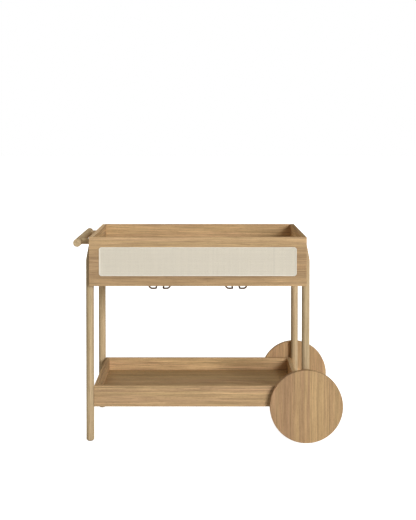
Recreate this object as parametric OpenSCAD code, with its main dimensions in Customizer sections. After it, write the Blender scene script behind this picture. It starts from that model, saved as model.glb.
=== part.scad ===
// Two-wheeled bar cart. A deep oak box with woven inlays stands on four round legs.
// A shallow tray sits low between the legs, a push bar is fixed to the left end,
// two plain disc wheels turn on the right legs, and wire rails under the box
// hold stemmed glasses by their feet.
// Millimetres. Z is up from the floor, X runs from the push bar to the wheels, front is -Y.
// The origin is on the floor, below the middle of the cart's overall length and depth.

/* [Upper box] */
// Length of the box, from the left side's outer face to the right side's
box_l = 747; // [640:1:900]
// Depth of the box, from the front panel's outer face to the back panel's
box_d = 400; // [370:5:480]
// Height of the box's boards
box_h = 168; // [155:1:200]
// Height of the box's top edge above the floor
box_top = 710; // [660:1:800]
// Thickness of the box's boards
box_board = 15; // [14:1:20]
// Thickness of the box's floor
box_floor_t = 9; // [8:0.5:12]
// Height of the floor's underside above the boards' lower edge
box_floor_up = 15.5; // [8:0.5:20]
// Depth of the groove that holds the floor's edge
box_groove = 6; // [4:0.5:7]
// Thickness of the tongue round the floor, which fills the groove's height
box_tongue = 6; // [4:0.5:7]

/* [Woven inlay] */
// Wood left round the inlay, on all four sides
inlay_border = 34; // [30:0.5:38]
// Radius of the inlay's corners
inlay_r = 10; // [8:1:18]
// Thickness of the webbing
webbing_t = 1.2; // [0.8:0.1:2]
// How far the webbing's face lies below the panel's face
webbing_set = 1.6; // [0.5:0.1:2.4]
// Width of the reed spline that holds the webbing's edge
spline_w = 4.3; // [3:0.1:6]
// Depth of the spline's groove, from the panel's face
spline_groove = 7; // [5.5:0.5:8]
// How far the spline's crown lies below the panel's face
spline_set = 0.3; // [0.2:0.1:1.2]

/* [Legs] */
// Diameter of the legs
leg_d = 27; // [24:1:32]
// Distance from the box's top edge down to the legs' top ends
lap_down = 18; // [10:1:42]
// Height over which a leg's half-round lap slants away to nothing, at its top end
lap_taper = 66; // [25:1:70]
// Chamfer round a leg's lower end
leg_chamfer = 1.5; // [0.5:0.5:3]
// How far the right legs reach below the wheels' axis
right_leg_drop = 30; // [22:1:45]

/* [Lower tray] */
// Height of the tray's lower edge above the floor
tray_bottom = 119; // [114:1:180]
// Height of the tray's boards
tray_h = 72; // [66:1:100]
// Thickness of the tray's boards
tray_board = 15; // [14:1:20]
// How far the tray's front lies behind the front of the legs
tray_setback = 6; // [3:1:8]
// Thickness of the tray's floor
tray_floor_t = 9; // [7:0.5:10]
// Height of the tray floor's underside above the boards' lower edge
tray_floor_up = 17.5; // [8:0.5:18]
// Depth of the groove that holds the tray floor's edge
tray_groove = 6; // [4:0.5:7]
// Thickness of the tongue round the tray's floor, which fills the groove's height
tray_tongue = 6; // [4:0.5:7]

/* [Push bar] */
// Diameter of the bar
bar_d = 28; // [24:1:32]
// Length of the bar
bar_l = 322; // [280:2:350]
// Distance from the box's side to the bar's axis
bar_out = 46; // [42:0.5:60]
// Distance from the box's top edge down to the bar's axis
bar_down = 25; // [18:1:32]
// Diameter of the pegs that carry the bar
peg_d = 21; // [16:1:23]
// Distance between the two pegs
peg_pitch = 230; // [180:2:250]
// Diameter of a peg's tenon inside the bar
tenon_d = 10; // [8:1:12]
// Depth of the tenon's hole from the bar's surface
tenon_l = 16; // [10:1:18]
// Chamfer round the bar's ends
bar_chamfer = 1; // [0.5:0.5:3]

/* [Wheels] */
// Diameter of the wheels
wheel_d = 252; // [235:1:270]
// Thickness of the wheels
wheel_t = 17; // [16:1:24]
// Radius of the rounding on a wheel's rim
wheel_round = 1.5; // [0.5:0.5:4]
// Space between a wheel and the front of its leg
wheel_gap = 2; // [1.5:0.5:5]
// Diameter of the spindle that turns in the leg
spindle_d = 10; // [9:0.5:11]
// Diameter of the spindle's threaded end
thread_d = 8; // [6:0.5:8]
// Radial running clearance between the spindle and its bush
running_gap = 0.05; // [0.02:0.01:0.1]
// End play between the turning pieces and the bush
end_play = 0.3; // [0.2:0.1:0.5]
// Diameter of the plate that fixes the spindle to the wheel
plate_d = 56; // [50:1:70]
// Thickness of that plate
plate_t = 3; // [2.5:0.5:4]
// Circle on which the plate's screws stand
plate_circle = 40; // [36:1:42]
// Number of screws in the plate
plate_screws = 4; // [3:1:6]
// Diameter of the bush in the leg
bush_d = 14; // [13:0.5:15]
// Diameter of the bush's collar, and of the flats cut on the leg
collar_d = 18; // [17:0.5:20]
// Diameter of the washer behind the leg
washer_d = 16; // [15:0.5:17]
// Thickness of the washer
washer_t = 1.6; // [1:0.2:2]
// Width across the flats of the axle nut
nut_af = 13; // [12:1:14]
// Height of the axle nut
nut_h = 7; // [5:0.5:9]
// Length of thread that stands out of the nut
thread_spare = 2; // [1:0.5:4]

/* [Glass rails] */
// Diameter of the wire
wire_d = 6; // [4:0.5:6.5]
// Distance between the two wires of a rack, centre to centre
slot_w = 25; // [22:1:28]
// Width of a rack over its outer drops
rack_w = 80; // [74:1:95]
// Distance between the middles of the two racks
rack_pitch = 267; // [200:1:320]
// Length of a rail from its front drop to its rear drop
rail_l = 300; // [200:5:310]
// How far the wires hang below the box's lower edge
rail_hang = 20; // [16:1:26]
// Radius of the bend where a drop turns in under the glass
drop_bend = 12; // [8:0.5:14]
// Radius of the bend where the wire turns to run back
rail_bend = 6; // [5:0.5:7]
// Length of the plate on top of a drop
pad_l = 30; // [28:1:40]
// Width of that plate
pad_w = 12; // [10:1:16]
// Thickness of that plate
pad_t = 2; // [1.5:0.5:3]
// Distance between the two screws in that plate
pad_pitch = 18; // [16:1:20]

/* [Fixings] */
// Diameter of the long screws' shanks
screw_d = 4.5; // [4:0.5:5]
// Diameter of the long screws' heads
screw_head_d = 9; // [8:0.5:9]
// Height of the long screws' heads
screw_head_t = 3; // [2:0.5:3]
// Diameter of the oak plugs over the screw heads
plug_d = 10; // [9.5:0.5:11]
// Thickness of the oak plugs in the box's sides
plug_t = 3.8; // [3:0.2:4]
// Depth of the leg screws in the legs' laps
lap_bite = 9; // [6:1:10]
// Height of the lower leg screw above the box's lower edge
lap_screw_low = 45; // [38:1:50]
// Height of the upper leg screw above the box's lower edge
lap_screw_high = 72; // [65:1:76]
// Depth of the bar's screws in the pegs
peg_bite = 22; // [12:1:24]
// Distance from the tray's top edge down to the screws through the legs
tray_screw_down = 13; // [10:1:14]
// Depth of those screws in the tray's corners
tray_bite = 24; // [18:1:40]
// Depth of those screws' heads below the leg's skin, filled by a plug
leg_plug_t = 5; // [4:0.5:7]
// Distance from the tray's top edge down to the dowels
dowel_down = 36; // [34:1:38]
// Diameter of the dowels between the legs and the tray
dowel_d = 8; // [6:1:8]
// Depth of a dowel on each side of the joint
dowel_bite = 12; // [8:1:14]
// Diameter of the small countersunk screws
small_screw_d = 3.5; // [3:0.5:4]
// Head diameter of the small countersunk screws
small_head_d = 6.6; // [6:0.2:7]
// Depth of the small screws in the wood
small_bite = 6.5; // [4:0.5:7]
// Thickness of the keys in the box's mitred corners
key_t = 4; // [3:0.5:5]
// Width of those keys, across the mitre
key_w = 10; // [8:0.5:11]
// Distance from the box's top edge down to the keys
key_down = 20; // [12:1:30]
// Diameter of the glides under the left legs
glide_d = 21; // [18:1:22]
// Thickness of the glides
glide_t = 2; // [1.5:0.5:4]
// Diameter of a glide's pin
glide_pin_d = 6; // [5:0.5:8]
// Length of a glide's pin
glide_pin_l = 14; // [10:1:20]
// Clearance round keys, dowels, pins, plugs and screws
snug = 0.1; // [0.05:0.05:0.2]
// Clearance between the floors and the boards round them, also at the bottoms of the grooves
floor_gap = 0.3; // [0.2:0.1:1]

/* [Hidden] */
$fn = 64;
oak = [0.75, 0.6, 0.43];
oak_light = [0.79, 0.66, 0.48];
cream = [0.85, 0.82, 0.75];
reed = [0.88, 0.85, 0.78];
bronze = [0.36, 0.29, 0.22];
steel = [0.66, 0.66, 0.68];
brass = [0.76, 0.62, 0.42];
nylon = [0.86, 0.85, 0.81];
brown = [0.5, 0.4, 0.3];

// Heights
box_bottom = box_top - box_h;
box_floor_z = box_bottom + box_floor_up;
axle_z = wheel_d / 2;
tray_floor_z = tray_bottom + tray_floor_up;
tray_top = tray_bottom + tray_h;
bar_z = box_top - bar_down;
leg_top = box_top - lap_down;
lap_z = leg_top - lap_taper;
rail_z = box_bottom - rail_hang + wire_d / 2;
drop_h = box_floor_z - rail_z;

// Places in plan
leg_x = box_l / 2;
leg_y = box_d / 2 - box_board - leg_d / 2;
tray_l = box_l - leg_d;
tray_d = 2 * (leg_y + leg_d / 2 - tray_setback);
bar_x = box_l / 2 + bar_out;
wheel_y = leg_y + leg_d / 2 + wheel_gap;
drop_x = (rack_w - wire_d) / 2;
cart_x = (bar_x + bar_d / 2 - leg_x - wheel_d / 2) / 2;

// Depth of the flats cut on a leg, so that the bush's collar has a whole seat
flat_d = collar_d + 4 * snug;
flat_y = sqrt(leg_d * leg_d / 4 - flat_d * flat_d / 4);

inlay_l = box_l - 2 * inlay_border;
inlay_h = box_h - 2 * inlay_border;
counterbore = plug_t + screw_head_t + snug;
under_head = box_board - counterbore;
tray_screw_z = tray_top - tray_screw_down;
dowel_z = tray_top - dowel_down;
overcut = 1;

// Moves a part drawn about the box's middle to its place over the origin
module on_cart() {
    translate([cart_x, 0, 0]) children();
}

// Repeats what stands at the right end at the left end too
module both_ends() {
    for (m = [0, 1]) mirror([m, 0, 0]) children();
}

// Repeats what stands at the back at the front too
module front_and_back() {
    for (m = [0, 1]) mirror([0, m, 0]) children();
}

// A board with mitred ends: outer face at y = 0, lower edge at z = 0, floor groove inside
module mitred_board(l, t, h, groove_z, groove_h, groove_depth) {
    difference() {
        linear_extrude(h)
            polygon([[-l / 2, 0], [l / 2, 0], [l / 2 - t, t], [t - l / 2, t]]);
        translate([-l / 2, t - groove_depth, groove_z])
            cube([l, groove_depth + overcut, groove_h]);
    }
}

// The floor of a frame l long and d deep: its field lies just clear of the boards, and the
// thinner tongue round it lies in their grooves
module floor_panel(l, d, t, board, groove, tongue) {
    field = board + floor_gap;
    edge = board - groove + floor_gap;
    translate([edge - l / 2, edge - d / 2, 0]) cube([l - 2 * edge, d - 2 * edge, tongue]);
    translate([field - l / 2, field - d / 2, 0]) cube([l - 2 * field, d - 2 * field, t]);
}

// Puts a board's outer face on one of the four sides of a frame l long and d deep
module on_front(d) {
    translate([0, -d / 2, 0]) children();
}

module on_back(d) {
    translate([0, d / 2, 0]) rotate([0, 0, 180]) children();
}

module on_left(l) {
    translate([-l / 2, 0, 0]) rotate([0, 0, -90]) children();
}

module on_right(l) {
    translate([l / 2, 0, 0]) rotate([0, 0, 90]) children();
}

// A rectangle with round corners, centred
module round_rect(l, h, r) {
    square([l - 2 * r, h], center = true);
    square([l, h - 2 * r], center = true);
    for (x = [r - l / 2, l / 2 - r], y = [r - h / 2, h / 2 - r])
        translate([x, y]) circle(r);
}

// The inlay's outline, less a margin all round, as a plate from depth a to depth b
// below the panel's outer face
module inlay_plate(margin, a, b) {
    translate([0, b, box_h / 2]) rotate([90, 0, 0])
        linear_extrude(b - a)
            round_rect(inlay_l - 2 * margin, inlay_h - 2 * margin, inlay_r - margin);
}

// Keys across the box's four mitres, larger by a margin for their slots
module corner_keys(margin) {
    key_z = box_floor_z + box_floor_t + box_groove;
    key_h = box_top - key_down - key_z;
    inset = box_board / 2;
    both_ends() front_and_back()
        translate([box_l / 2 - inset, box_d / 2 - inset, key_z - margin])
            rotate([0, 0, -45])
                translate([-key_w / 2 - margin, -key_t / 2 - margin, 0])
                    cube([key_w + 2 * margin, key_t + 2 * margin, key_h + 2 * margin]);
}

// A screw's hole along +X: counterbore, then shank, from the inner face of a box side
module side_screw_hole(bite) {
    rotate([0, 90, 0]) {
        translate([0, 0, -overcut]) cylinder(d = plug_d + 2 * snug, h = counterbore + overcut);
        cylinder(d = screw_d + 2 * snug, h = box_board + bite + snug);
    }
}

// The screw that fits that hole
module side_screw(bite) {
    rotate([0, 90, 0]) {
        translate([0, 0, counterbore - screw_head_t]) cylinder(d = screw_head_d, h = screw_head_t);
        translate([0, 0, counterbore]) cylinder(d = screw_d, h = under_head + bite);
    }
}

module side_plug() {
    rotate([0, 90, 0]) cylinder(d = plug_d, h = plug_t);
}

// Places of the leg screws at the right end, back corner
module at_lap_screws() {
    for (z = [lap_screw_low, lap_screw_high])
        translate([box_l / 2 - box_board, leg_y, box_bottom + z]) children();
}

// Places of the bar's screws, at the left end
module at_bar_screws() {
    for (y = [-peg_pitch / 2, peg_pitch / 2])
        translate([box_board - box_l / 2, y, bar_z]) mirror([1, 0, 0]) children();
}

// Place of the tray screw that enters the right end's back leg, pointing inwards
module at_tray_screw() {
    translate([leg_x + leg_d / 2, leg_y, tray_screw_z]) mirror([1, 0, 0]) children();
}

module tray_screw_hole() {
    head_x = leg_plug_t + screw_head_t;
    rotate([0, 90, 0]) {
        translate([0, 0, -overcut]) cylinder(d = plug_d + 2 * snug, h = head_x + overcut);
        cylinder(d = screw_d + 2 * snug, h = leg_d + tray_bite + snug);
    }
}

// Dowels between a leg and the tray's corner, with a margin for their holes
module tray_dowel(margin) {
    translate([tray_l / 2 - dowel_bite - margin, leg_y, dowel_z]) rotate([0, 90, 0])
        cylinder(d = dowel_d + 2 * margin, h = 2 * dowel_bite + 2 * margin);
}

// Panels of the upper box

module inlaid_panel() {
    difference() {
        mitred_board(box_l, box_board, box_h, box_floor_up, box_tongue, box_groove);
        inlay_plate(0, -overcut, webbing_set + webbing_t);
        difference() {
            inlay_plate(0, -overcut, spline_groove);
            inlay_plate(spline_w + webbing_t, -2 * overcut, spline_groove + overcut);
        }
    }
}

module box_front_panel() {
    color(oak) on_cart() difference() {
        translate([0, 0, box_bottom]) on_front(box_d) inlaid_panel();
        corner_keys(snug);
    }
}

module box_back_panel() {
    color(oak) on_cart() difference() {
        translate([0, 0, box_bottom]) on_back(box_d) inlaid_panel();
        corner_keys(snug);
    }
}

module side_board() {
    mitred_board(box_d, box_board, box_h, box_floor_up, box_tongue, box_groove);
}

module box_left_side() {
    color(oak) on_cart() difference() {
        translate([0, 0, box_bottom]) on_left(box_l) side_board();
        corner_keys(snug);
        both_ends() front_and_back() at_lap_screws() side_screw_hole(lap_bite);
        at_bar_screws() side_screw_hole(peg_bite);
    }
}

module box_right_side() {
    color(oak) on_cart() difference() {
        translate([0, 0, box_bottom]) on_right(box_l) side_board();
        corner_keys(snug);
        both_ends() front_and_back() at_lap_screws() side_screw_hole(lap_bite);
    }
}

module box_floor() {
    color(oak_light) on_cart() difference() {
        translate([0, 0, box_floor_z])
            floor_panel(box_l, box_d, box_floor_t, box_board, box_groove, box_tongue);
        at_rail_screws() plate_screw_hole(pad_t);
    }
}

module box_corner_keys() {
    color(oak_light) on_cart() corner_keys(0);
}

// Woven inlay: the webbing's field lies on the panel, its edge turns down into the groove

module webbing() {
    fold = spline_w;
    difference() {
        inlay_plate(fold, webbing_set, spline_groove);
        inlay_plate(fold + webbing_t, webbing_set + webbing_t, spline_groove + overcut);
    }
}

module front_webbing() {
    color(cream) on_cart() translate([0, 0, box_bottom]) on_front(box_d) webbing();
}

module back_webbing() {
    color(cream) on_cart() translate([0, 0, box_bottom]) on_back(box_d) webbing();
}

// The spline's section: a strip with a round crown towards the panel's face at y = 0
module spline_section() {
    translate([-spline_w / 2, spline_set + spline_w / 2])
        square([spline_w, spline_groove - spline_set - spline_w / 2]);
    translate([0, spline_set + spline_w / 2]) circle(d = spline_w);
}

module spline_side(l) {
    translate([-l / 2, 0, 0]) rotate([0, 90, 0]) linear_extrude(l) spline_section();
}

module spline_corner() {
    r = inlay_r - spline_w / 2;
    rotate([-90, 0, 0]) rotate([0, 0, -90])
        rotate_extrude(angle = 90) translate([r, 0]) spline_section();
}

module spline() {
    side_x = inlay_l / 2 - inlay_r;
    side_z = inlay_h / 2 - inlay_r;
    mid = inlay_r - spline_w / 2;
    translate([0, 0, box_h / 2]) {
        for (m = [0, 1]) mirror([0, 0, m])
            translate([0, 0, side_z + mid]) spline_side(2 * side_x);
        for (m = [0, 1]) mirror([m, 0, 0])
            translate([side_x + mid, 0, 0]) rotate([0, 90, 0]) spline_side(2 * side_z);
        for (m = [0, 1], n = [0, 1]) mirror([m, 0, 0]) mirror([0, 0, n])
            translate([side_x, 0, side_z]) spline_corner();
    }
}

module front_spline() {
    color(reed) on_cart() translate([0, 0, box_bottom]) on_front(box_d) spline();
}

module back_spline() {
    color(reed) on_cart() translate([0, 0, box_bottom]) on_back(box_d) spline();
}

// Legs, drawn at the right end's back corner and mirrored to the others

// Cuts the half that the box's side needs, and the slant that ends the lap
module lap_cut() {
    r = leg_d / 2;
    steep = lap_taper / r;
    above = leg_top + leg_d;
    translate([-leg_d, -leg_d, box_bottom]) cube([leg_d, 2 * leg_d, above - box_bottom]);
    translate([0, leg_d, 0]) rotate([90, 0, 0]) linear_extrude(2 * leg_d)
        polygon([
            [-overcut, leg_top + steep * overcut],
            [r + overcut, lap_z - steep * overcut],
            [r + overcut, above],
            [-overcut, above]
        ]);
}

module leg(foot_z, chamfer) {
    difference() {
        translate([leg_x, leg_y, 0]) difference() {
            union() {
                translate([0, 0, foot_z])
                    cylinder(d1 = leg_d - 2 * chamfer, d2 = leg_d, h = chamfer);
                translate([0, 0, foot_z + chamfer])
                    cylinder(d = leg_d, h = leg_top + overcut - foot_z - chamfer);
            }
            lap_cut();
        }
        at_lap_screws() side_screw_hole(lap_bite);
        at_tray_screw() tray_screw_hole();
        tray_dowel(snug);
    }
}

module left_leg() {
    mirror([1, 0, 0]) difference() {
        leg(glide_t, leg_chamfer);
        translate([leg_x, leg_y, glide_t - overcut])
            cylinder(d = glide_pin_d + 2 * snug, h = glide_pin_l + snug + overcut);
    }
}

// The flats' rims just touch the rod's surface. The cuts are turned about the axle, which
// keeps their seams away from those points
module right_leg() {
    difference() {
        leg(axle_z - right_leg_drop, leg_chamfer);
        translate([leg_x, leg_y, axle_z]) rotate([-90, 0, 0]) rotate([0, 0, 30]) {
            translate([0, 0, -leg_d]) cylinder(d = bush_d + 2 * snug, h = 2 * leg_d);
            for (m = [0, 1]) mirror([0, 0, m])
                translate([0, 0, flat_y]) cylinder(d = flat_d, h = leg_d);
        }
    }
}

module front_left_leg() {
    color(oak_light) on_cart() mirror([0, 1, 0]) left_leg();
}

module back_left_leg() {
    color(oak_light) on_cart() left_leg();
}

module front_right_leg() {
    color(oak_light) on_cart() mirror([0, 1, 0]) right_leg();
}

module back_right_leg() {
    color(oak_light) on_cart() right_leg();
}

module foot_glide() {
    translate([-leg_x, leg_y, 0]) {
        cylinder(d = glide_d, h = glide_t);
        cylinder(d = glide_pin_d, h = glide_t + glide_pin_l);
    }
}

module front_foot_glide() {
    color(brown) on_cart() mirror([0, 1, 0]) foot_glide();
}

module back_foot_glide() {
    color(brown) on_cart() foot_glide();
}

module leg_screws() {
    color(steel) on_cart() both_ends() front_and_back() at_lap_screws() side_screw(lap_bite);
}

module box_screw_plugs() {
    color(oak_light) on_cart() {
        both_ends() front_and_back() at_lap_screws() side_plug();
        at_bar_screws() side_plug();
    }
}

// Lower tray

module tray_long_board() {
    mitred_board(tray_l, tray_board, tray_h, tray_floor_up, tray_tongue, tray_groove);
}

module tray_end_board() {
    mitred_board(tray_d, tray_board, tray_h, tray_floor_up, tray_tongue, tray_groove);
}

// Holes for the dowels and screws that cross the tray's corners
module tray_corner_holes() {
    both_ends() front_and_back() {
        at_tray_screw() tray_screw_hole();
        tray_dowel(snug);
    }
}

module tray_front_board() {
    color(oak) on_cart() difference() {
        translate([0, 0, tray_bottom]) on_front(tray_d) tray_long_board();
        tray_corner_holes();
    }
}

module tray_back_board() {
    color(oak) on_cart() difference() {
        translate([0, 0, tray_bottom]) on_back(tray_d) tray_long_board();
        tray_corner_holes();
    }
}

module tray_left_board() {
    color(oak) on_cart() difference() {
        translate([0, 0, tray_bottom]) on_left(tray_l) tray_end_board();
        tray_corner_holes();
    }
}

module tray_right_board() {
    color(oak) on_cart() difference() {
        translate([0, 0, tray_bottom]) on_right(tray_l) tray_end_board();
        tray_corner_holes();
    }
}

module tray_floor() {
    color(oak_light) on_cart() translate([0, 0, tray_floor_z])
        floor_panel(tray_l, tray_d, tray_floor_t, tray_board, tray_groove, tray_tongue);
}

module tray_dowels() {
    color(oak_light) on_cart() both_ends() front_and_back() tray_dowel(0);
}

module tray_screws() {
    head_x = leg_plug_t + screw_head_t;
    color(steel) on_cart() both_ends() front_and_back() at_tray_screw() rotate([0, 90, 0]) {
        translate([0, 0, leg_plug_t]) cylinder(d = screw_head_d, h = screw_head_t);
        translate([0, 0, head_x]) cylinder(d = screw_d, h = leg_d - head_x + tray_bite);
    }
}

// Plugs over those screws, cut to the leg's round
module leg_plugs() {
    color(oak_light) on_cart() both_ends() front_and_back() intersection() {
        at_tray_screw() rotate([0, 90, 0]) cylinder(d = plug_d, h = leg_plug_t - snug);
        translate([leg_x, leg_y, tray_bottom]) cylinder(d = leg_d, h = tray_h);
    }
}

// Push bar

module push_bar() {
    color(oak_light) on_cart() difference() {
        translate([-bar_x, -bar_l / 2, bar_z]) rotate([-90, 0, 0]) {
            cylinder(d1 = bar_d - 2 * bar_chamfer, d2 = bar_d, h = bar_chamfer);
            translate([0, 0, bar_chamfer]) cylinder(d = bar_d, h = bar_l - 2 * bar_chamfer);
            translate([0, 0, bar_l - bar_chamfer])
                cylinder(d1 = bar_d, d2 = bar_d - 2 * bar_chamfer, h = bar_chamfer);
        }
        for (y = [-peg_pitch / 2, peg_pitch / 2])
            translate([bar_d / 2 - tenon_l - snug - bar_x, y, bar_z]) rotate([0, 90, 0])
                cylinder(d = tenon_d + 2 * snug, h = tenon_l + snug + overcut);
    }
}

// A peg from the box's side to the bar: its end is hollowed to the bar's round
module bar_peg() {
    reach = bar_out - bar_d / 2;
    translate([-box_l / 2, peg_pitch / 2, bar_z]) mirror([1, 0, 0]) difference() {
        union() {
            difference() {
                rotate([0, 90, 0]) cylinder(d = peg_d, h = bar_out);
                translate([bar_out, 0, 0]) rotate([90, 0, 0])
                    cylinder(d = bar_d + 2 * snug, h = 2 * peg_d, center = true);
            }
            rotate([0, 90, 0]) cylinder(d = tenon_d, h = reach + tenon_l);
        }
        translate([-overcut, 0, 0]) rotate([0, 90, 0])
            cylinder(d = screw_d + 2 * snug, h = peg_bite + snug + overcut);
    }
}

module front_bar_peg() {
    color(oak_light) on_cart() mirror([0, 1, 0]) bar_peg();
}

module back_bar_peg() {
    color(oak_light) on_cart() bar_peg();
}

module bar_screws() {
    color(steel) on_cart() at_bar_screws() side_screw(peg_bite);
}

// Wheels, drawn for the back and mirrored to the front. Each stands on the axle's line
// with +Z along the axle, away from the cart, and z = 0 in the middle of the leg.

module on_axle() {
    translate([leg_x, leg_y, axle_z]) rotate([-90, 0, 0]) children();
}

module at_plate_screws() {
    for (i = [0 : plate_screws - 1])
        rotate([0, 0, (i + 0.5) * 360 / plate_screws])
            translate([plate_circle / 2, 0, 0]) children();
}

// A countersunk screw with its head's face at z = 0, pointing up
module small_screw(l) {
    head_h = (small_head_d - small_screw_d) / 2;
    cylinder(d1 = small_head_d, d2 = small_screw_d, h = head_h);
    translate([0, 0, head_h]) cylinder(d = small_screw_d, h = l - head_h);
}

// Its hole, through a plate of the given thickness and into the wood behind
module plate_screw_hole(thickness) {
    head_h = (small_head_d - small_screw_d) / 2;
    translate([0, 0, -overcut]) cylinder(d = small_head_d + 2 * snug, h = overcut);
    cylinder(d1 = small_head_d + 2 * snug, d2 = small_screw_d + 2 * snug, h = head_h);
    cylinder(d = small_screw_d + 2 * snug, h = thickness + small_bite + snug);
}

module wheel() {
    r = wheel_d / 2;
    inner = wheel_y - leg_y;
    on_axle() difference() {
        translate([0, 0, inner]) rotate_extrude($fn = 128) {
            square([r - wheel_round, wheel_t]);
            translate([0, wheel_round]) square([r, wheel_t - 2 * wheel_round]);
            for (z = [wheel_round, wheel_t - wheel_round])
                translate([r - wheel_round, z]) circle(wheel_round);
        }
        translate([0, 0, inner - overcut])
            cylinder(d = plate_d + 2 * snug, h = plate_t + overcut);
        translate([0, 0, inner]) at_plate_screws() plate_screw_hole(plate_t);
    }
}

module front_wheel() {
    color(oak) on_cart() mirror([0, 1, 0]) wheel();
}

module back_wheel() {
    color(oak) on_cart() wheel();
}

// The spindle's plate is let into the wheel's inner face, flush with it
module wheel_spindle() {
    inner = wheel_y - leg_y;
    shoulder = -flat_y - end_play;
    on_axle() {
        difference() {
            translate([0, 0, inner]) cylinder(d = plate_d, h = plate_t);
            translate([0, 0, inner]) at_plate_screws() plate_screw_hole(plate_t);
        }
        translate([0, 0, shoulder]) cylinder(d = spindle_d, h = inner + plate_t - shoulder);
        translate([0, 0, shoulder - washer_t - nut_h - thread_spare])
            cylinder(d = thread_d, h = inner + plate_t - shoulder + washer_t + nut_h + thread_spare);
    }
}

module front_wheel_spindle() {
    color(steel) on_cart() mirror([0, 1, 0]) wheel_spindle();
}

module back_wheel_spindle() {
    color(steel) on_cart() wheel_spindle();
}

module plate_screw_set() {
    on_axle() translate([0, 0, wheel_y - leg_y]) at_plate_screws()
        small_screw(plate_t + small_bite);
}

module front_plate_screws() {
    color(steel) on_cart() mirror([0, 1, 0]) plate_screw_set();
}

module back_plate_screws() {
    color(steel) on_cart() plate_screw_set();
}

// A sleeve through the leg, with a collar that keeps the wheel off the leg
module axle_bush() {
    inner = wheel_y - leg_y;
    on_axle() difference() {
        union() {
            translate([0, 0, -flat_y]) cylinder(d = bush_d, h = inner - end_play + flat_y);
            translate([0, 0, flat_y]) cylinder(d = collar_d, h = inner - end_play - flat_y);
        }
        translate([0, 0, -leg_d]) cylinder(d = spindle_d + 2 * running_gap, h = 3 * leg_d);
    }
}

module front_axle_bush() {
    color(nylon) on_cart() mirror([0, 1, 0]) axle_bush();
}

module back_axle_bush() {
    color(nylon) on_cart() axle_bush();
}

module axle_washer() {
    on_axle() translate([0, 0, -flat_y - end_play - washer_t]) difference() {
        cylinder(d = washer_d, h = washer_t);
        translate([0, 0, -overcut])
            cylinder(d = thread_d + 2 * snug, h = washer_t + 2 * overcut);
    }
}

module front_axle_washer() {
    color(brass) on_cart() mirror([0, 1, 0]) axle_washer();
}

module back_axle_washer() {
    color(brass) on_cart() axle_washer();
}

module axle_nut() {
    on_axle() translate([0, 0, -flat_y - end_play - washer_t - nut_h]) difference() {
        cylinder(d = nut_af / cos(30), h = nut_h, $fn = 6);
        translate([0, 0, -overcut])
            cylinder(d = thread_d + 2 * snug, h = nut_h + 2 * overcut);
    }
}

module front_axle_nut() {
    color(brass) on_cart() mirror([0, 1, 0]) axle_nut();
}

module back_axle_nut() {
    color(brass) on_cart() axle_nut();
}

// Glass rails: one wire each, drawn as the right-hand rail of a rack, wire axis at z = 0

module quarter_bend(r) {
    rotate_extrude(angle = 90) translate([r, 0]) circle(d = wire_d);
}

module half_rail() {
    y = rail_l / 2;
    run_x = slot_w / 2 + rail_bend;
    translate([drop_x, y, drop_bend]) cylinder(d = wire_d, h = drop_h - drop_bend - pad_t);
    translate([drop_x - drop_bend, y, drop_bend]) rotate([-90, 0, 0]) quarter_bend(drop_bend);
    translate([run_x, y, 0]) rotate([0, 90, 0])
        cylinder(d = wire_d, h = drop_x - drop_bend - run_x);
    translate([run_x, y - rail_bend, 0]) rotate([0, 0, 90]) quarter_bend(rail_bend);
    translate([slot_w / 2, 0, 0]) rotate([-90, 0, 0]) cylinder(d = wire_d, h = y - rail_bend);
    translate([drop_x, y, drop_h - pad_t]) difference() {
        rail_pad();
        for (s = [-1, 1]) translate([0, s * pad_pitch / 2, 0]) plate_screw_hole(pad_t);
    }
}

module rail_pad() {
    linear_extrude(pad_t) {
        square([pad_w, pad_l - pad_w], center = true);
        for (s = [-1, 1]) translate([0, s * (pad_l - pad_w) / 2]) circle(d = pad_w);
    }
}

// Moves a rail to its rack: rack is -1 or 1, side is -1 for the left rail or 1 for the right
module in_rack(rack, side) {
    translate([rack * rack_pitch / 2, 0, rail_z]) mirror([side < 0 ? 1 : 0, 0, 0]) children();
}

module glass_rail(rack, side) {
    color(bronze) on_cart() in_rack(rack, side) front_and_back() half_rail();
}

module left_rack_left_rail() {
    glass_rail(-1, -1);
}

module left_rack_right_rail() {
    glass_rail(-1, 1);
}

module right_rack_left_rail() {
    glass_rail(1, -1);
}

module right_rack_right_rail() {
    glass_rail(1, 1);
}

// Places of the screws that hold the rails' plates under the box's floor
module at_rail_screws() {
    for (rack = [-1, 1], side = [-1, 1]) in_rack(rack, side)
        front_and_back()
            for (s = [-1, 1])
                translate([drop_x, rail_l / 2 + s * pad_pitch / 2, drop_h - pad_t]) children();
}

module rail_screws() {
    color(bronze) on_cart() at_rail_screws() small_screw(pad_t + small_bite);
}

box_front_panel();
box_back_panel();
box_left_side();
box_right_side();
box_floor();
box_corner_keys();
front_webbing();
back_webbing();
front_spline();
back_spline();
front_left_leg();
back_left_leg();
front_right_leg();
back_right_leg();
front_foot_glide();
back_foot_glide();
leg_screws();
box_screw_plugs();
tray_front_board();
tray_back_board();
tray_left_board();
tray_right_board();
tray_floor();
tray_dowels();
tray_screws();
leg_plugs();
push_bar();
front_bar_peg();
back_bar_peg();
bar_screws();
front_wheel();
front_wheel_spindle();
front_plate_screws();
front_axle_bush();
front_axle_washer();
front_axle_nut();
back_wheel();
back_wheel_spindle();
back_plate_screws();
back_axle_bush();
back_axle_washer();
back_axle_nut();
left_rack_left_rail();
left_rack_right_rail();
right_rack_left_rail();
right_rack_right_rail();
rail_screws();
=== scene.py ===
"""Looks of an oak bar cart: finishes, woven inlays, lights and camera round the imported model."""

import math

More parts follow.
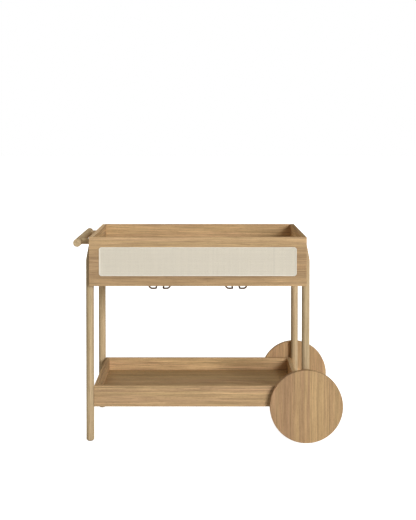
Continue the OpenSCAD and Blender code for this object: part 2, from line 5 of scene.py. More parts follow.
import bmesh
import bpy
import numpy as np
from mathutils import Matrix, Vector


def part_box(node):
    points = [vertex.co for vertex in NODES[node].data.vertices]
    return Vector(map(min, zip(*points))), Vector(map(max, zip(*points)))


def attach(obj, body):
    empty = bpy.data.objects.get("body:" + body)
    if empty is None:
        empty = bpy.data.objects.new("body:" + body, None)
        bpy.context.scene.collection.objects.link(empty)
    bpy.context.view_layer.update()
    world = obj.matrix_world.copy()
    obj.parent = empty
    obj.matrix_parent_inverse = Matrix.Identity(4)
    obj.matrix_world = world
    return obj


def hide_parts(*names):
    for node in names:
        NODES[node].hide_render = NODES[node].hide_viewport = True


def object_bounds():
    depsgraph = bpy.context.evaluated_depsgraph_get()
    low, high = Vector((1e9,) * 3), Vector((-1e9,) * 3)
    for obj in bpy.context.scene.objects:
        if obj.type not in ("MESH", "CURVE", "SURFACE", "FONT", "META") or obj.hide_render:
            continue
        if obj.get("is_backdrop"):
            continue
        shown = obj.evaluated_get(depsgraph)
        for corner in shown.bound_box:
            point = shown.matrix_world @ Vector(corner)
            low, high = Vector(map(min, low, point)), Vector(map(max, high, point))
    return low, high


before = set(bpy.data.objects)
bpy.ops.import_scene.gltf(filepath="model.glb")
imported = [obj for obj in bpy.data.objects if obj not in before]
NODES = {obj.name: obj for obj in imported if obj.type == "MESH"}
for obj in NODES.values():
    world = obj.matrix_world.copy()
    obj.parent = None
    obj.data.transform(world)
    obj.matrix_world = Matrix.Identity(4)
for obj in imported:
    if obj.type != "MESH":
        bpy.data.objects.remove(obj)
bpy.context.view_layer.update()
MM = 0.001

# The photograph's frame, and the camera's principal point in it, in pixels
IMAGE_W, IMAGE_H = 416, 520
CENTRE_X, CENTRE_Y = 201.97, 148.17
# Focal length in pixels, the camera's place in metres and its downward tilt in degrees
FOCAL_PX = 814.1
CAMERA_AT = Vector((-0.0187, -2.9794, 1.0766))
TILT = 1.267
# The sensor's width in millimetres
SENSOR = 36.0

# Eased edges of the boards, in metres
ARRIS = 0.6 * MM
CORNER_R = 1.0 * MM

# The weave: pitch and width of its strands, their thickness, and how far they rise and fall
PITCH = 2.5 * MM
STRAND_W = 2.3 * MM
STRAND_T = 0.46 * MM
STRAND_RISE = 0.28 * MM
# How far the strands' ends reach under the spline
TUCK = 1.0 * MM
# How far a strand's edges lie below its middle, as a share of its thickness
EDGE_DROP = 0.2
# Radius of the inlay's corners
INLAY_R = 5.7 * MM

# Copied boards: distance at which points are joined, distance from a side at which an edge lies
# on it, and tolerance of a cut
WELD = 0.002 * MM
NEAR = 0.02 * MM
CUT_TOLERANCE = 0.0001 * MM
# Degrees below which faces are joined, from which an edge is an arris, and below which it is smooth
FLAT_ANGLE = 0.6
ARRIS_ANGLE = 60.0
SMOOTH_ANGLE = 50.0
# Degrees of the cuts that round one half of a mitred corner
MITRE_CUTS = (15.0, 30.0, 45.0)

WHITE = (1.0, 1.0, 1.0, 1.0)


class Tree:
    """A material's node tree, with short calls to add and link nodes."""

    def __init__(self, name):
        self.material = bpy.data.materials.new(name)
        self.material.use_nodes = True
        self.nodes = self.material.node_tree.nodes
        self.links = self.material.node_tree.links
        self.nodes.clear()
        self.output = self.nodes.new("ShaderNodeOutputMaterial")

    def link(self, source, socket):
        if isinstance(source, (int, float, tuple, list)):
            socket.default_value = source
        else:
            self.links.new(source, socket)

    def add(self, kind, inputs=None, **settings):
        node = self.nodes.new("ShaderNode" + kind)
        for key, value in settings.items():
            setattr(node, key, value)
        for key, value in (inputs or {}).items():
            self.link(value, node.inputs[key])
        return node

    def math(self, operation, a, b=0.0, c=0.0, clamp=False):
        node = self.add("Math", {0: a, 1: b, 2: c}, operation=operation)
        node.use_clamp = clamp
        return node.outputs[0]

    def noise(self, vector, scale=1.0, detail=2.0, roughness=0.5):
        node = self.add("TexNoise", {"Vector": vector, "Scale": scale, "Detail": detail,
                                     "Roughness": roughness})
        return node.outputs["Fac"]

    def stretched(self, run, u, v, along, across, detail=2.0, roughness=0.5):
        """Noise with its own scale along the grain and across it, in cycles per metre."""
        place = self.combine(self.math("MULTIPLY", run, along), self.math("MULTIPLY", u, across),
                             self.math("MULTIPLY", v, across))
        return self.noise(place, 1.0, detail, roughness)

    def random(self, value):
        return self.add("TexWhiteNoise", {"W": value}, noise_dimensions="1D").outputs["Value"]

    def combine(self, x, y, z):
        return self.add("CombineXYZ", {0: x, 1: y, 2: z}).outputs[0]

    def mix(self, factor, a, b, blend="MIX"):
        node = self.add("Mix", data_type="RGBA", blend_type=blend)
        self.link(factor, node.inputs[0])
        self.link(a, node.inputs[6])
        self.link(b, node.inputs[7])
        return node.outputs[2]

    def shade(self, colour, tone):
        """Multiplies a colour by a tone."""
        return self.mix(1.0, colour, self.combine(tone, tone, tone), "MULTIPLY")

    def remap(self, value, low, high, to_low=0.0, to_high=1.0, smooth=False):
        kind = "SMOOTHSTEP" if smooth else "LINEAR"
        node = self.add("MapRange", {0: value, 1: low, 2: high, 3: to_low, 4: to_high},
                        interpolation_type=kind)
        return node.outputs[0]

    def principled(self, **inputs):
        names = {key.replace("_", " "): value for key, value in inputs.items()}
        shader = self.add("BsdfPrincipled", names)
        self.links.new(shader.outputs[0], self.output.inputs[0])


def rgb(r, g, b):
    """A colour given as it shows on screen, 0 to 255, as the linear colour that shaders take."""
    def linear(value):
        value /= 255.0
        return value / 12.92 if value <= 0.04045 else ((value + 0.055) / 1.055) ** 2.4
    return (linear(r), linear(g), linear(b), 1.0)


# Two tones of late wood, early wood and the colour of pores, for boards, round parts and wheels
BOARD = (rgb(195, 167, 124), rgb(189, 157, 122), rgb(159, 126, 91), rgb(103, 77, 52))
ROUND = (rgb(199, 178, 141), rgb(194, 170, 137), rgb(174, 148, 112), rgb(124, 98, 70))
WHEEL = (rgb(191, 161, 119), rgb(183, 149, 115), rgb(156, 123, 89), rgb(102, 76, 52))


# The oak's noises: cycles per metre along the grain and across it
SWAY = (2.1, 4.0)
HEAVE = (1.8, 4.0)
FIBRE = (26.0, 700.0)
STREAK = (7.0, 230.0)
CLOUD = (2.2, 9.0)
VESSELS = (120.0, 2300.0)
# How far the heart wanders, and how far apart on the log its two sways and each seed are, in metres
WANDER = 0.020
HEAVE_SHIFT = 31.7
SEED_SHIFT = 1.37
# Glued strips: where the first begins, as a share of a strip, the step of chance between seeds,
# and how far chance moves a strip across the log and along it, in metres
STRIP_START = 0.3
STRIP_SEED_STEP = 7.3
STRIP_ACROSS = 0.11
STRIP_ALONG = 5.0
# Darkest and lightest tone of a glued strip, and how strongly the darker ones are rosy
STRIP_TONES = (0.92, 1.05)
STRIP_ROSY = 1.2
# How much darker the wood is near its heart
HEART_DARKER = 0.25


def strip_chance(tree, u, stave, seed):
    """A random value for each glued strip, from 0 to 1."""
    strip = tree.math("FLOOR", tree.math("DIVIDE", tree.math("ADD", u, STRIP_START * stave), stave))
    return tree.random(tree.math("ADD", strip, STRIP_SEED_STEP * seed))


def round_heart(tree, run, u, v, from_heart_u, from_heart_v, figure):
    """Distance and angle round the heart. It wanders along the log, which bends the rings into
    arches on flat-sawn faces."""
    sway = tree.math("SUBTRACT", tree.stretched(run, u, v, *SWAY, 3.0), 0.5)
    shifted = tree.math("ADD", run, HEAVE_SHIFT)
    heave = tree.math("SUBTRACT", tree.stretched(shifted, u, v, *HEAVE, 3.0), 0.5)
    far_u = tree.math("MULTIPLY_ADD", sway, WANDER * figure, from_heart_u)
    far_v = tree.math("MULTIPLY_ADD", heave, WANDER * figure, from_heart_v)
    radius = tree.math("SQRT", tree.math("ADD", tree.math("MULTIPLY", far_u, far_u),
                                         tree.math("MULTIPLY", far_v, far_v)))
    return radius, tree.math("ARCTAN2", far_v, far_u)


def growth(tree, run, radius, angle, ring, seed):
    """How good each year was, the wood's hue, a random value for each ring, and how porous the
    wood is. Good and bad years change the rings' width and tone."""
    years = tree.noise(tree.combine(tree.math("MULTIPLY", radius, 120.0), tree.math("MULTIPLY", run, 2.6),
                                    tree.math("MULTIPLY", angle, 3.0)), 1.0, 4.0, 0.65)
    hue = tree.noise(tree.combine(tree.math("MULTIPLY", radius, 60.0), tree.math("MULTIPLY", run, 1.9),
                                  5.0 + seed), 1.0, 3.0, 0.6)
    phase = tree.math("MULTIPLY_ADD", years, 3.4, tree.math("DIVIDE", radius, ring))
    season = tree.math("FRACT", phase)
    porous = tree.math("MULTIPLY", tree.remap(season, 0.0, 0.15, smooth=True),
                       tree.remap(season, 0.65, 0.25, smooth=True))
    return years, hue, tree.random(tree.math("FLOOR", phase)), porous


def ends_and_painted_top_light(tree, colour, facing, run_axis, end_tone, painted_top_light):
    """Gives the end grain its own tone, and paints light or shade onto a board's upper edge."""
    if end_tone != 1.0:
        end_grain = tree.remap(tree.math("ABSOLUTE", facing[run_axis]), 0.6, 0.95, 1.0, end_tone)
        colour = tree.shade(colour, end_grain)
    # Painted light: upward faces are made paler as a painted highlight or darker as painted shade
    if painted_top_light:
        painted_top_mask = tree.remap(facing[2], 0.5, 0.9)
        colour = tree.mix(painted_top_mask, colour, tree.mix(1.0, colour, painted_top_light + (1.0,), "MULTIPLY"))
    return colour


def oak(name, along, heart, seed, tones, ring=2.6 * MM, figure=1.0, stave=0.0, light=1.0,
        contrast=1.0, heartwood=0.0, end_tone=1.0, painted_top_light=None):
    """Oiled oak as a solid texture. Its growth rings run round a line along the grain.

    heart is that line's place on the two axes across the grain, from the cart's origin.
    stave is the width of the glued strips, or 0 for a single board, and light is the board's
    tone, which on some boards is raised as painted fill light. Within the radius heartwood the
    wood is darker and redder, which then fades out.
    contrast scales how much the grain's lines differ, and end_tone is the end grain's tone.
    The last argument is a colour that multiplies a board's upper edge as painted light: a painted
    highlight where it is paler, painted shade where it is darker."""
    late, late_rosy, early, pore = tones
    tree = Tree(name)

    def varied(value, low, high, darker, lighter):
        """Turns noise between low and high into a tone that runs from darker to lighter."""
        return tree.remap(value, low, high, 1.0 - darker * contrast, 1.0 + lighter * contrast)

    coordinates = tree.add("TexCoord").outputs
    split = tree.add("SeparateXYZ", {0: coordinates["Object"]}).outputs
    facing = tree.add("SeparateXYZ", {0: coordinates["Normal"]}).outputs
    run_axis, u_axis, v_axis = {"x": (0, 1, 2), "y": (1, 0, 2), "z": (2, 0, 1)}[along]
    run = tree.math("ADD", split[run_axis], SEED_SHIFT * seed)
    u, v = split[u_axis], split[v_axis]
    from_heart_u = tree.math("SUBTRACT", u, heart[0])
    from_heart_v = tree.math("SUBTRACT", v, heart[1])

    # Glued strips each come from another part of the log
    strip_tone = 1.0
    if stave:
        chance = strip_chance(tree, u, stave, seed)
        from_heart_u = tree.math("ADD", from_heart_u, tree.math("MULTIPLY", chance, STRIP_ACROSS))
        run = tree.math("ADD", run, tree.math("MULTIPLY", chance, STRIP_ALONG))
        strip_tone = tree.remap(chance, 0.0, 1.0, *STRIP_TONES)

    radius, angle = round_heart(tree, run, u, v, from_heart_u, from_heart_v, figure)

    years, hue, ring_chance, porous = growth(tree, run, radius, angle, ring, seed)
    year_tone = varied(ring_chance, 0.0, 1.0, darker=0.10, lighter=0.10)

    fibre = tree.stretched(run, u, v, *FIBRE, 3.0, 0.65)
    streak = tree.stretched(run, u, v, *STREAK, 3.0, 0.65)
    cloud = tree.stretched(run, u, v, *CLOUD, 2.0)
    vessels = tree.stretched(run, u, v, *VESSELS, 1.0)
    pores = tree.math("MULTIPLY", tree.remap(vessels, 0.56, 0.64), tree.remap(porous, 0.1, 0.7))
    rays = tree.noise(tree.combine(tree.math("MULTIPLY", run, 75.0),
                                   tree.math("MULTIPLY", radius, 45.0),
                                   tree.math("MULTIPLY", angle, 130.0)), 1.0, 1.0)
    fleck = tree.remap(rays, 0.66, 0.74)

    rosy = tree.remap(hue, 0.35, 0.65)
    if stave:
        darkness = tree.math("SUBTRACT", 0.5, chance)
        rosy = tree.math("MULTIPLY_ADD", darkness, STRIP_ROSY, rosy, clamp=True)
    board_tone = light
    if heartwood:
        ripe = tree.remap(radius, 0.6 * heartwood, 1.4 * heartwood, 1.0, 0.0, smooth=True)
        rosy = tree.math("MAXIMUM", rosy, tree.math("MULTIPLY", ripe, 0.8))
        board_tone = tree.math("MULTIPLY_ADD", ripe, -HEART_DARKER * light, light)
    colour = tree.mix(rosy, late, late_rosy)
    colour = tree.mix(tree.math("MULTIPLY", porous, 0.42), colour, early)
    tone = tree.math("MULTIPLY", year_tone, varied(years, 0.3, 0.7, darker=0.21, lighter=0.20))
    tone = tree.math("MULTIPLY", tone, varied(fibre, 0.25, 0.75, darker=0.14, lighter=0.14))
    tone = tree.math("MULTIPLY", tone, varied(streak, 0.25, 0.75, darker=0.26, lighter=0.26))
    tone = tree.math("MULTIPLY", tone, tree.remap(cloud, 0.25, 0.75, 0.94, 1.06))
    tone = tree.math("MULTIPLY", tone, tree.math("MULTIPLY", strip_tone, board_tone))
    colour = tree.shade(colour, tone)
    colour = tree.mix(tree.math("MULTIPLY", pores, 0.5), colour, pore)
    colour = tree.mix(tree.math("MULTIPLY", fleck, 0.3), colour, late)
    colour = ends_and_painted_top_light(tree, colour, facing, run_axis, end_tone, painted_top_light)

    rough = tree.math("MULTIPLY_ADD", fleck, -0.12, tree.remap(fibre, 0.2, 0.8, 0.60, 0.72))
    height = tree.math("SUBTRACT", tree.math("MULTIPLY", fibre, 0.4), pores)
    bump = tree.add("Bump", {"Strength": 0.4, "Distance": 0.2 * MM, "Height": height})
    # Matt, because the white backdrop would otherwise show in it at a grazing angle
    tree.principled(Base_Color=colour, Roughness=rough, Normal=bump.outputs[0],
                    Specular_IOR_Level=0.0)
    return tree.material


def plain(name, colour, roughness, metallic=0.0, grain=400.0, depth=0.05 * MM, variety=0.10):
    """A finish with fine mottling in its colour, gloss and surface."""
    tree = Tree(name)
    place = tree.add("TexCoord").outputs["Object"]
    fine = tree.noise(place, grain, 3.0, 0.6)
    broad = tree.noise(place, grain / 9.0, 2.0)
    shade = tree.shade(colour, tree.remap(broad, 0.3, 0.7, 1.0 - variety, 1.0 + variety))
    rough = tree.remap(fine, 0.3, 0.7, roughness - 0.07, roughness + 0.07)
    bump = tree.add("Bump", {"Strength": 0.3, "Distance": depth, "Height": fine})
    tree.principled(Base_Color=shade, Roughness=rough, Metallic=metallic, Normal=bump.outputs[0])
    return tree.material


CANE = rgb(238, 231, 215)
CANE_KNOT = rgb(176, 154, 120)
# The photograph shows one darker upright strand in the front inlay, at this X
DARK_STRAND_X = 0.2285
# How much darker that strand is
DARK_STRAND_BY = 0.17


def cane(name, along, across, edge, dark_strand=None):
    """Split cane: each strand has a tone of its own, and fine fibres along it.

    edge is where the first strand's room begins, and dark_strand a place where one is darker."""
    tree = Tree(name)
    split = tree.add("SeparateXYZ", {0: tree.add("TexCoord").outputs["Object"]}).outputs
    run, side = split[along], tree.math("SUBTRACT", split[across], edge)
    strand = tree.math("FLOOR", tree.math("DIVIDE", side, PITCH))
    chance = tree.random(strand)
    fibre = tree.noise(tree.combine(tree.math("MULTIPLY", run, 45.0), tree.math("MULTIPLY", side, 4200.0),
                                    tree.math("MULTIPLY", chance, 40.0)), 1.0, 2.0)
    length = tree.noise(tree.combine(tree.math("MULTIPLY", run, 14.0), strand, 0.0), 1.0, 2.0)
    tone = tree.math("MULTIPLY", tree.remap(chance, 0.0, 1.0, 0.965, 1.025),
                     tree.remap(fibre, 0.25, 0.75, 0.95, 1.05))
    tone = tree.math("MULTIPLY", tone, tree.remap(length, 0.3, 0.7, 0.975, 1.025))
    if dark_strand is not None:
        number = math.floor((dark_strand - edge) / PITCH)
        chosen = tree.math("COMPARE", strand, number, 0.5)
        tone = tree.math("MULTIPLY", tone, tree.math("MULTIPLY_ADD", chosen, -DARK_STRAND_BY, 1.0))
    colour = tree.shade(CANE, tone)
    # A few darker nodes of the cane
    knot = tree.noise(tree.combine(tree.math("MULTIPLY", run, 160.0),
                                   tree.math("MULTIPLY", strand, 3.7), 0.0))
    colour = tree.mix(tree.remap(knot, 0.78, 0.86, 0.0, 0.35), colour, CANE_KNOT)
    rough = tree.remap(fibre, 0.2, 0.8, 0.52, 0.68)
    bump = tree.add("Bump", {"Strength": 0.3, "Distance": 0.06 * MM, "Height": fibre})
    tree.principled(Base_Color=colour, Roughness=rough, Normal=bump.outputs[0], Specular_IOR_Level=0.3)
    return tree.material


def dress(names, material):
    """Gives CAD nodes a finish."""
    for name in names:
        obj = NODES[name]
        obj.data.materials.clear()
        obj.data.materials.append(material)


def add_piece(name, mesh, body, material, replaced):
    """A new piece that stands for CAD nodes and rides on their body."""
    piece = bpy.data.objects.new(name, mesh)
    bpy.context.scene.collection.objects.link(piece)
    mesh.materials.clear()
    mesh.materials.append(material)
    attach(piece, body)
    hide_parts(*replaced)
    return piece


def is_mitre(face):
    """A mitre's face stands at 45 degrees to the two sides."""
    return abs(abs(face.normal.x) - abs(face.normal.y)) < 0.1 and abs(face.normal.z) < 0.1


def is_arris(edge, low, high):
    """True for a sharp outer edge of a board, but not for the edges of a mitre."""
    if not edge.is_manifold or edge.calc_face_angle_signed(0.0) < math.radians(ARRIS_ANGLE):
        return False
    if any(is_mitre(face) for face in edge.link_faces):
        return False
    sides = 0
    for axis in range(3):
        for limit in (low[axis], high[axis]):
            if all(abs(vertex.co[axis] - limit) < NEAR for vertex in edge.verts):
                sides += 1
    return sides >= 2


def round_mitre(form, corner, out_x, out_y, face_is_x):
    """Rounds a mitred corner as if it was eased after gluing. This board has one half of it."""
    centre = corner - Vector((out_x, out_y, 0.0)) * CORNER_R
    for turn in MITRE_CUTS:
        a = math.radians(turn)
        near, far = math.cos(a), math.sin(a)
        if not face_is_x:
            near, far = far, near
        normal = Vector((out_x * near, out_y * far, 0.0))
        cut = bmesh.ops.bisect_plane(form, geom=form.verts[:] + form.edges[:] + form.faces[:],
                                     dist=CUT_TOLERANCE, plane_co=centre + normal * CORNER_R,
                                     plane_no=normal, clear_outer=True)
        edges = [item for item in cut["geom_cut"] if isinstance(item, bmesh.types.BMEdge)]
        bmesh.ops.contextual_create(form, geom=edges)


def eased_board(name, frame_nodes, material):
    """A board copied from its CAD node, with eased arrises and, at its mitres, rounded corners."""
    form = bmesh.new()
    form.from_mesh(NODES[name].data)
    bmesh.ops.remove_doubles(form, verts=form.verts, dist=WELD)
    bmesh.ops.dissolve_limit(form, angle_limit=math.radians(FLAT_ANGLE), verts=form.verts,
                             edges=form.edges)
    low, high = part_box(name)
    arrises = [edge for edge in form.edges if is_arris(edge, low, high)]
    bmesh.ops.bevel(form, geom=arrises, offset=ARRIS, offset_type="OFFSET", segments=2,
                    profile=0.5, affect="EDGES", clamp_overlap=True)
    outer_low = Vector([min(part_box(other)[0][axis] for other in frame_nodes) for axis in range(3)])
    outer_high = Vector([max(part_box(other)[1][axis] for other in frame_nodes) for axis in range(3)])
    for out_x in (-1, 1):
        for out_y in (-1, 1):
            corner = Vector((outer_high.x if out_x > 0 else outer_low.x,
                             outer_high.y if out_y > 0 else outer_low.y, 0.0))
            reaches = low.x - MM < corner.x < high.x + MM and low.y - MM < corner.y < high.y + MM
            if reaches:
                round_mitre(form, corner, out_x, out_y, high.y - low.y > high.x - low.x)
    form.normal_update()
    for edge in form.edges:
        edge.smooth = edge.is_manifold and edge.calc_face_angle(0.0) < math.radians(SMOOTH_ANGLE)
    for face in form.faces:
        face.smooth = True
    mesh = bpy.data.meshes.new(name + "_eased")
    form.to_mesh(mesh)
    form.free()
    piece = add_piece(name + "_eased", mesh, "cart", material, [name])
    weighted = piece.modifiers.new("weighted", "WEIGHTED_NORMAL")
    weighted.keep_sharp = True


def strand_ends(offset, half_across, half_along, radius):
    """Half the length of a strand at this distance from the middle of a round-cornered field."""
    over = abs(offset) - (half_across - radius)
    if over <= 0.0:
        return half_along
    return half_along - radius + math.sqrt(max(radius * radius - over * over, 0.0))


def strand_mesh(name, count, half_across, half_along, radius, place, parity):
    """All the strands of one direction, as one mesh of closed strips with a low crown.

    place(along, across, out) gives a point from its place in the weave. Each strip rises over
    and dives under the strands that cross it."""
    half_w, step = STRAND_W / 2, PITCH / 2
    points, faces = [], []
    for i in range(count):
        across = (i - (count - 1) / 2) * PITCH
        end = strand_ends(across, half_across, half_along, radius) + TUCK
        steps = 2 * int(end / step) + 1
        first = len(points)
        for k in range(steps + 1):
            along = -end + 2 * end * k / steps
            swing = math.cos(math.pi * along / PITCH) * (1 if (i + parity) % 2 else -1)
            out = STRAND_RISE * swing
            points.append(place(along, across - half_w, out - STRAND_T * EDGE_DROP))
            points.append(place(along, across, out + STRAND_T / 2))
            points.append(place(along, across + half_w, out - STRAND_T * EDGE_DROP))
            points.append(place(along, across, out - STRAND_T / 2))
        for k in range(steps):
            a = first + 4 * k
            for side in range(4):
                faces.append((a + side, a + (side + 1) % 4, a + 4 + (side + 1) % 4, a + 4 + side))
        faces.append((first + 3, first + 2, first + 1, first))
        last = first + 4 * steps
        faces.append((last, last + 1, last + 2, last + 3))
    mesh = bpy.data.meshes.new(name)
    mesh.from_pydata(points, [], faces)
    mesh.polygons.foreach_set("use_smooth", np.ones(len(faces), bool))
    return mesh


def weave(side, out_y, dark_strand=None):
    """The inlay's plain weave of flat strands, in two pieces: upright and level strands."""
    low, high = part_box(side + "_webbing")
    middle = (low + high) / 2
    half_l, half_h = (high.x - low.x) / 2, (high.z - low.z) / 2
    # The strands' middle plane: their crowns reach the CAD webbing's face
    plane = (high.y if out_y > 0 else low.y) - out_y * (STRAND_RISE + STRAND_T / 2)

    def upright(along, across, out):
        return (middle.x + across, plane + out_y * out, middle.z + along)

    def level(along, across, out):
        return (middle.x + along, plane + out_y * out, middle.z + across)

    columns = int(2 * half_l / PITCH)
    rows = int(2 * half_h / PITCH)
    upright_cane = cane(side + "_upright_cane", 2, 0, middle.x - columns * PITCH / 2, dark_strand)
    level_cane = cane(side + "_level_cane", 0, 2, middle.z - rows * PITCH / 2)
    upright_mesh = strand_mesh(side + "_upright_strands", columns, half_l, half_h, INLAY_R, upright, 0)
    level_mesh = strand_mesh(side + "_level_strands", rows, half_h, half_l, INLAY_R, level, 1)
    add_piece(side + "_upright_strands", upright_mesh, "cart", upright_cane,
              [side + "_webbing"])
    add_piece(side + "_level_strands", level_mesh, "cart", level_cane, [side + "_webbing"])


BOX_BOARDS = ["box_front_panel", "box_back_panel", "box_left_side", "box_right_side"]
TRAY_BOARDS = ["tray_front_board", "tray_back_board", "tray_left_board", "tray_right_board"]

# Each board comes from its own place in the log: axis of the grain, heart of the log, seed
# and how light the board is. The back panel, the box's right side and the tray's right board
# are lighter as painted fill light in the shade inside the box and the tray.
BOARD_CUTS = {
    "box_front_panel": ("x", (-0.26, 0.61), 1, 1.15),
    "box_back_panel": ("x", (0.30, 0.77), 2, 1.22),
    "box_left_side": ("y", (-0.50, 0.75), 3, 1.13),
    "box_right_side": ("y", (0.45, 0.52), 4, 1.42),
    "tray_front_board": ("x", (-0.27, 0.05), 5, 1.10),
    "tray_back_board": ("x", (0.26, 0.24), 6, 1.18),
    "tray_left_board": ("y", (-0.47, 0.07), 7, 1.02),
    "tray_right_board": ("y", (0.41, 0.23), 8, 1.35),
}
# The front panel was cut near the heart of its log
HEARTWOOD = {"box_front_panel": 0.09}
# Painted light on the upper edges of some boards: a painted highlight on the box's left side, painted
# shade on its right side and on the tray's right board
PAINTED_TOP_LIGHT = {"box_left_side": (1.42, 1.52, 1.66), "box_right_side": (0.52, 0.50, 0.46),
           "tray_right_board": (0.80, 0.82, 0.82)}
for group in (BOX_BOARDS, TRAY_BOARDS):
    for name in group:
        along, heart, seed, light = BOARD_CUTS[name]
        wood = oak("oak_" + name, along, heart, seed, BOARD, light=light,
                   heartwood=HEARTWOOD.get(name, 0.0), painted_top_light=PAINTED_TOP_LIGHT.get(name))
        eased_board(name, group, wood)

# Floors, glued from strips of this width in metres
FLOOR_STRIP = 0.09
dress(["box_floor"], oak("oak_box_floor", "x", (-0.10, 0.48), 9, BOARD, stave=FLOOR_STRIP,
                         light=1.05, contrast=0.7))
dress(["tray_floor"], oak("oak_tray_floor", "x", (0.05, 0.06), 10, BOARD, stave=FLOOR_STRIP,
                          light=0.93, contrast=0.7))

# Round parts: their rings' width, the first leg's seed, how light each leg is, and how far the
# heart lies from a leg's middle, by turns to its right and left
ROD_RING = 2.4 * MM
LEG_SEED = 21
LEG_LIGHT = {"front_left_leg": 0.97, "back_left_leg": 1.12,
             "front_right_leg": 0.95, "back_right_leg": 1.0}
LEG_HEART_X, LEG_HEART_Y = 0.03, 0.05
for i, (name, light) in enumerate(LEG_LIGHT.items()):
    low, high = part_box(name)
    heart = ((low.x + high.x) / 2 + LEG_HEART_X * (-1) ** i, (low.y + high.y) / 2 + LEG_HEART_Y)
    wood = oak("oak_" + name, "z", heart, LEG_SEED + i, ROUND, ring=ROD_RING, figure=0.5,
               light=light, contrast=0.6)
    dress([name], wood)
dress(["push_bar"], oak("oak_push_bar", "y", (-0.49, 0.65), 31, ROUND, ring=ROD_RING, figure=0.5,
                        light=1.10, contrast=0.6, end_tone=0.92))
dress(["front_bar_peg", "back_bar_peg"],
      oak("oak_pegs", "x", (0.0, 0.72), 32, ROUND, light=1.35, contrast=0.6))
dress(["box_screw_plugs", "leg_plugs"], oak("oak_plugs", "z", (0.0, 0.3), 33, ROUND))
dress(["box_corner_keys", "tray_dowels"], oak("oak_keys", "z", (0.0, 0.3), 34, ROUND))

# Wheels, glued from upright strips: their width and the rings' width in metres, how far the
# heart lies outside a wheel's left and back sides, and each wheel's seed and lightness
WHEEL_STRIP = 0.0525
WHEEL_RING = 3.0 * MM
WHEEL_HEART_X, WHEEL_HEART_Y = 0.05, 0.09
WHEEL_CUTS = {"front_wheel": (206, 1.04), "back_wheel": (49, 1.12)}
for name, (seed, light) in WHEEL_CUTS.items():
    low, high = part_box(name)
    heart = (low.x - WHEEL_HEART_X, high.y + WHEEL_HEART_Y)
    wood = oak("oak_" + name, "z", heart, seed, WHEEL, ring=WHEEL_RING, stave=WHEEL_STRIP,
               light=light, contrast=0.75, end_tone=0.88)
    dress([name], wood)

# Inlays
dress(["front_spline", "back_spline"], plain("reed", rgb(235, 230, 217), 0.6, grain=900.0, variety=0.03))
weave("front", -1, DARK_STRAND_X)
weave("back", 1)

# Small parts and rails
dress(["front_foot_glide", "back_foot_glide"], plain("brown_nylon", rgb(96, 76, 58), 0.6))
dress(["front_axle_bush", "back_axle_bush"], plain("nylon", rgb(220, 217, 208), 0.5))
dress(["leg_screws", "tray_screws", "bar_screws", "front_wheel_spindle", "front_plate_screws",
       "back_wheel_spindle", "back_plate_screws"], plain("yellow_zinc", rgb(196, 160, 118), 0.45, 1.0))
dress(["front_axle_washer", "front_axle_nut", "back_axle_washer", "back_axle_nut"],
      plain("brass", rgb(200, 164, 118), 0.4, 1.0))
dress(["left_rack_left_rail", "left_rack_right_rail", "right_rack_left_rail",
       "right_rack_right_rail", "rail_screws"], plain("bronze", rgb(98, 76, 58), 0.42, 1.0))


# The floor: half its width in metres, its grey, and the glow that makes it show as white
FLOOR_HALF = 30.0
FLOOR_GREY = (0.8, 0.8, 0.8, 1.0)
FLOOR_GLOW = 0.9


def make_floor():
    """A wide pale floor that shows as white, and keeps a soft shadow under the cart."""
    mesh = bpy.data.meshes.new("floor")
    form = bmesh.new()
    bmesh.ops.create_grid(form, x_segments=1, y_segments=1, size=FLOOR_HALF)
    form.to_mesh(mesh)
    form.free()
    floor = bpy.data.objects.new("floor", mesh)
    bpy.context.scene.collection.objects.link(floor)
    tree = Tree("floor")
    lit = tree.add("BsdfDiffuse", {0: FLOOR_GREY})
    glow = tree.add("Emission", {0: WHITE, 1: FLOOR_GLOW})
    both = tree.add("AddShader")
    rays = tree.add("LightPath").outputs
    tree.link(lit.outputs[0], both.inputs[0])
    tree.link(glow.outputs[0], both.inputs[1])
    chosen = tree.add("MixShader")
    seen = tree.math("ADD", rays["Is Camera Ray"], rays["Is Transmission Ray"], clamp=True)
    seen = tree.math("ADD", seen, rays["Is Glossy Ray"], clamp=True)
    tree.link(seen, chosen.inputs[0])
    tree.link(lit.outputs[0], chosen.inputs[1])
    tree.link(both.outputs[0], chosen.inputs[2])
    tree.link(chosen.outputs[0], tree.output.inputs[0])
    mesh.materials.append(tree.material)
    floor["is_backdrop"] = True


# The fill light: its strength from the middle, the share by which it grows to the right and
# fades to the left, and its colour from the left
FILL_STRENGTH = 0.31
FILL_SLOPE = 0.25
WARM = (1.0, 0.90, 0.72, 1.0)
# The round lights: their distance from the point that they face, and their width, in metres
LIGHT_DISTANCE = 14.0
LIGHT_WIDTH = 5.6
LIT_POINT = Vector((0.0, 0.0, 0.4))


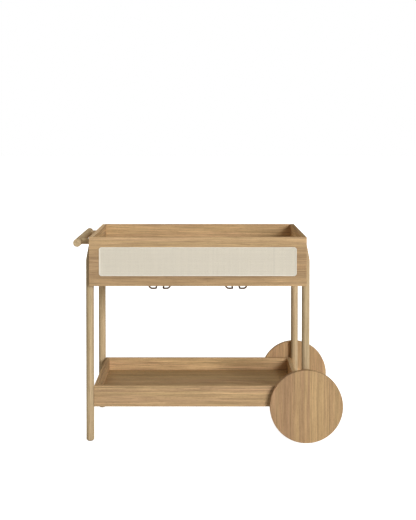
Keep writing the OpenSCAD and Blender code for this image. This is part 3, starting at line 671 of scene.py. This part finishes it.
def make_world():
    """A white backdrop, and a soft light from all round, weaker and warmer from the left."""
    world = bpy.data.worlds.new("studio")
    bpy.context.scene.world = world
    world.use_nodes = True
    nodes, links = world.node_tree.nodes, world.node_tree.links
    nodes.clear()
    output = nodes.new("ShaderNodeOutputWorld")
    shown = nodes.new("ShaderNodeBackground")
    shown.inputs[0].default_value = WHITE
    shown.inputs[1].default_value = 1.0
    fill = nodes.new("ShaderNodeBackground")
    direction = nodes.new("ShaderNodeSeparateXYZ")
    links.new(nodes.new("ShaderNodeTexCoord").outputs["Generated"], direction.inputs[0])
    strength = nodes.new("ShaderNodeMath")
    strength.operation = "MULTIPLY_ADD"
    links.new(direction.outputs[0], strength.inputs[0])
    strength.inputs[1].default_value = FILL_STRENGTH * FILL_SLOPE
    strength.inputs[2].default_value = FILL_STRENGTH
    links.new(strength.outputs[0], fill.inputs[1])
    rightward = nodes.new("ShaderNodeMapRange")
    links.new(direction.outputs[0], rightward.inputs[0])
    rightward.inputs[1].default_value = -1.0
    tint = nodes.new("ShaderNodeMix")
    tint.data_type = "RGBA"
    links.new(rightward.outputs[0], tint.inputs[0])
    tint.inputs[6].default_value = WARM
    tint.inputs[7].default_value = WHITE
    links.new(tint.outputs[2], fill.inputs[0])
    rays = nodes.new("ShaderNodeLightPath")
    seen = rays.outputs["Is Camera Ray"]
    for kind in ("Is Glossy Ray", "Is Transmission Ray"):
        either = nodes.new("ShaderNodeMath")
        either.operation = "MAXIMUM"
        links.new(seen, either.inputs[0])
        links.new(rays.outputs[kind], either.inputs[1])
        seen = either.outputs[0]
    chosen = nodes.new("ShaderNodeMixShader")
    links.new(seen, chosen.inputs[0])
    links.new(fill.outputs[0], chosen.inputs[1])
    links.new(shown.outputs[0], chosen.inputs[2])
    links.new(chosen.outputs[0], output.inputs[0])


def area_light(name, azimuth, elevation, power):
    """A round soft light. Azimuth is turned from the front to the right, in degrees."""
    a, e = math.radians(azimuth), math.radians(elevation)
    towards = Vector((math.sin(a) * math.cos(e), -math.cos(a) * math.cos(e), math.sin(e)))
    data = bpy.data.lights.new(name, "AREA")
    data.shape = "DISK"
    data.size = LIGHT_WIDTH
    data.energy = power
    lamp = bpy.data.objects.new(name, data)
    lamp.location = LIT_POINT + towards * LIGHT_DISTANCE
    lamp.rotation_mode = "QUATERNION"
    lamp.rotation_quaternion = (-towards).to_track_quat("-Z", "Y")
    lamp.visible_camera = False
    bpy.context.scene.collection.objects.link(lamp)


def make_camera():
    """The photograph's camera: its place and tilt, and the shift that its framing needs."""
    data = bpy.data.cameras.new("camera")
    data.sensor_width = SENSOR
    data.lens = SENSOR * FOCAL_PX / IMAGE_H
    data.shift_x = (IMAGE_W / 2 - CENTRE_X) / IMAGE_H
    data.shift_y = (CENTRE_Y - IMAGE_H / 2) / IMAGE_H
    camera = bpy.data.objects.new("camera", data)
    camera.location = CAMERA_AT
    camera.rotation_euler = (math.pi / 2 - math.radians(TILT), 0.0, 0.0)
    bpy.context.scene.collection.objects.link(camera)
    bpy.context.scene.camera = camera


make_floor()
make_world()
area_light("key", azimuth=30.0, elevation=17.0, power=1345.0)
area_light("back", azimuth=195.0, elevation=24.0, power=700.0)
make_camera()
bpy.context.scene.view_settings.view_transform = "Standard"

low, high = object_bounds()
